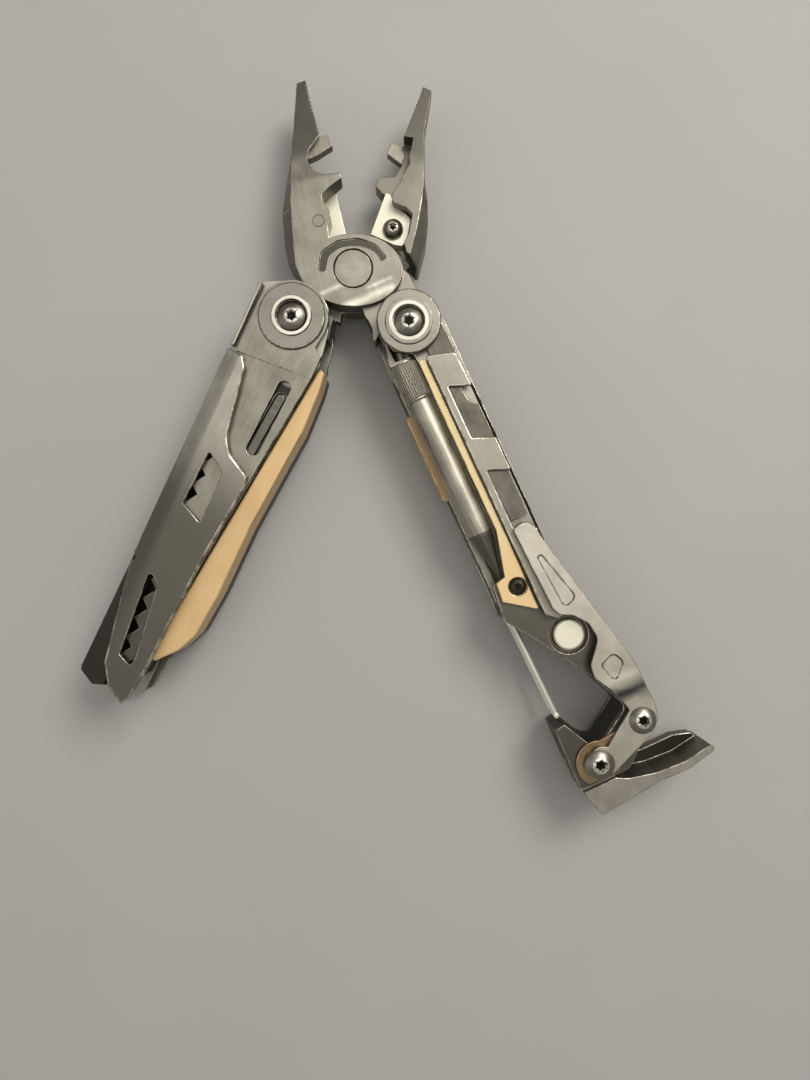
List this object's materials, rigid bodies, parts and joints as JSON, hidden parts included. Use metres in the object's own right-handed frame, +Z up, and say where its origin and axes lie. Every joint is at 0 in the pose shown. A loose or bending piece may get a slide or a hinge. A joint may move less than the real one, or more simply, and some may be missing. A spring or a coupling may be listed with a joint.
{
  "type": "folding pocket multi tool",
  "caption": "Folding pocket tool lying open: needle-nose pliers, one handle with saw and knife, one with a carabiner loop, pocket clip and hammer end.",
  "frame": {"origin": "middle of the underside of the whole tool as it lies open, at the lowest point", "axes": "+Z up out of the surface it lies on, along every pivot; +Y towards the plier tips, the long way of the open tool; +X towards the carabiner handle's side"},
  "size_m": [0.1404, 0.1632, 0.0203],
  "materials": {
    "oxide_steel": "satin",
    "bright_steel": "satin",
    "satin_steel": "satin",
    "clip_steel": "matte",
    "tan_aluminium": "satin",
    "bronze": "satin",
    "wire_steel": "polished",
    "dark_screw": "satin"
  },
  "bodies": {
    "root": {"jaw_front": "oxide_steel", "crimper_front": "oxide_steel", "cutter_insert_front": "bright_steel", "cutter_screw_front": "bright_steel", "plier_pivot_pin": "satin_steel"},
    "back_jaw": {"jaw_back": "oxide_steel", "crimper_back": "oxide_steel", "cutter_insert_back": "bright_steel", "cutter_screw_back": "bright_steel"},
    "blade_handle": {"liner_left_front": "oxide_steel", "liner_left_back": "oxide_steel", "lock_spring_left_front": "oxide_steel", "lock_spring_left_back": "oxide_steel", "tan_scale_left": "tan_aluminium", "spine_left": "oxide_steel", "tail_spacer_left": "oxide_steel", "jaw_stop_pin_left": "wire_steel", "cover_left_front": "oxide_steel", "cover_left_back": "oxide_steel", "pivot_sleeve_left": "satin_steel", "washers_left": "oxide_steel", "pivot_screws_left": "dark_screw"},
    "saw_blade": {"saw": "oxide_steel"},
    "knife_blade": {"knife": "oxide_steel"},
    "carabiner_handle": {"liner_right_front": "oxide_steel", "frame_right_back": "oxide_steel", "tan_spine_right": "tan_aluminium", "carabiner_frame": "oxide_steel", "gate_pin": "wire_steel", "gate_spring": "wire_steel", "button_spring": "wire_steel", "cover_right_front": "oxide_steel", "cover_right_back": "oxide_steel", "tan_scale_right": "tan_aluminium", "tan_screw_right": "dark_screw", "pocket_clip": "clip_steel", "clip_spacer": "clip_steel", "clip_screws": "dark_screw", "clip_nuts": "clip_steel", "hammer_head": "satin_steel", "pivot_sleeve_right": "satin_steel", "washers_right": "oxide_steel", "pivot_screws_right": "dark_screw"},
    "driver": {"bit_driver": "oxide_steel", "flat_bit": "satin_steel"},
    "hook": {"hook_cutter": "oxide_steel"},
    "carabiner_gate": {"gate": "wire_steel"},
    "button": {"release_button": "satin_steel"},
    "punch_tool": {"punch": "satin_steel", "punch_arm": "oxide_steel"},
    "scraper": {"bronze_scraper": "bronze"}
  },
  "joints": [
    {"name": "jaw_pivot", "type": "hinge", "parent": "root", "child": "back_jaw", "pos_m": [-0.00902, 0.03843, 0.01], "axis": [0, 0, 1], "range_deg": [0, 34.3]},
    {"name": "blade_handle_pivot", "type": "hinge", "parent": "back_jaw", "child": "blade_handle", "pos_m": [-0.02207, 0.02693, 0.01], "axis": [0, 0, -1], "range_deg": [0, 155]},
    {"name": "saw_pivot", "type": "hinge", "parent": "blade_handle", "child": "saw_blade", "pos_m": [-0.02207, 0.02693, 0.018], "axis": [0, 0, 1], "range_deg": [0, 55]},
    {"name": "knife_pivot", "type": "hinge", "parent": "blade_handle", "child": "knife_blade", "pos_m": [-0.02207, 0.02693, 0.002], "axis": [0, 0, 1], "range_deg": [0, 55]},
    {"name": "carabiner_handle_pivot", "type": "hinge", "parent": "root", "child": "carabiner_handle", "pos_m": [0.00328, 0.02583, 0.01], "axis": [0, 0, 1], "range_deg": [0, 150]},
    {"name": "bit_driver_pivot", "type": "hinge", "parent": "carabiner_handle", "child": "driver", "pos_m": [0.00328, 0.02583, 0.0175], "axis": [0, 0, 1], "range_deg": [0, 180]},
    {"name": "hook_cutter_pivot", "type": "hinge", "parent": "carabiner_handle", "child": "hook", "pos_m": [0.00328, 0.02583, 0.0022], "axis": [0, 0, 1], "range_deg": [0, 180]},
    {"name": "punch_pivot", "type": "hinge", "parent": "carabiner_handle", "child": "punch_tool", "pos_m": [0.00328, 0.02583, 0.0145], "axis": [0, 0, -1], "range_deg": [0, 50]},
    {"name": "scraper_pivot", "type": "hinge", "parent": "carabiner_handle", "child": "scraper", "pos_m": [0.04462, -0.07007, 0.0172], "axis": [0, 0, 1], "range_deg": [0, 110]},
    {"name": "gate_hinge", "type": "hinge", "parent": "carabiner_handle", "child": "carabiner_gate", "pos_m": [0.02592, -0.03939, 0.01], "axis": [0, 0, 1], "range_deg": [0, 22], "stiffness_Nm_per_rad": 0.02, "springref_deg": -34.38},
    {"name": "button_press", "type": "slide", "parent": "carabiner_handle", "child": "button", "axis": [0, 0, -1], "range_m": [0, 0.0012], "stiffness_N_per_m": 900, "springref_m": -0.001, "deforming": ["button_spring"]}
  ]
}
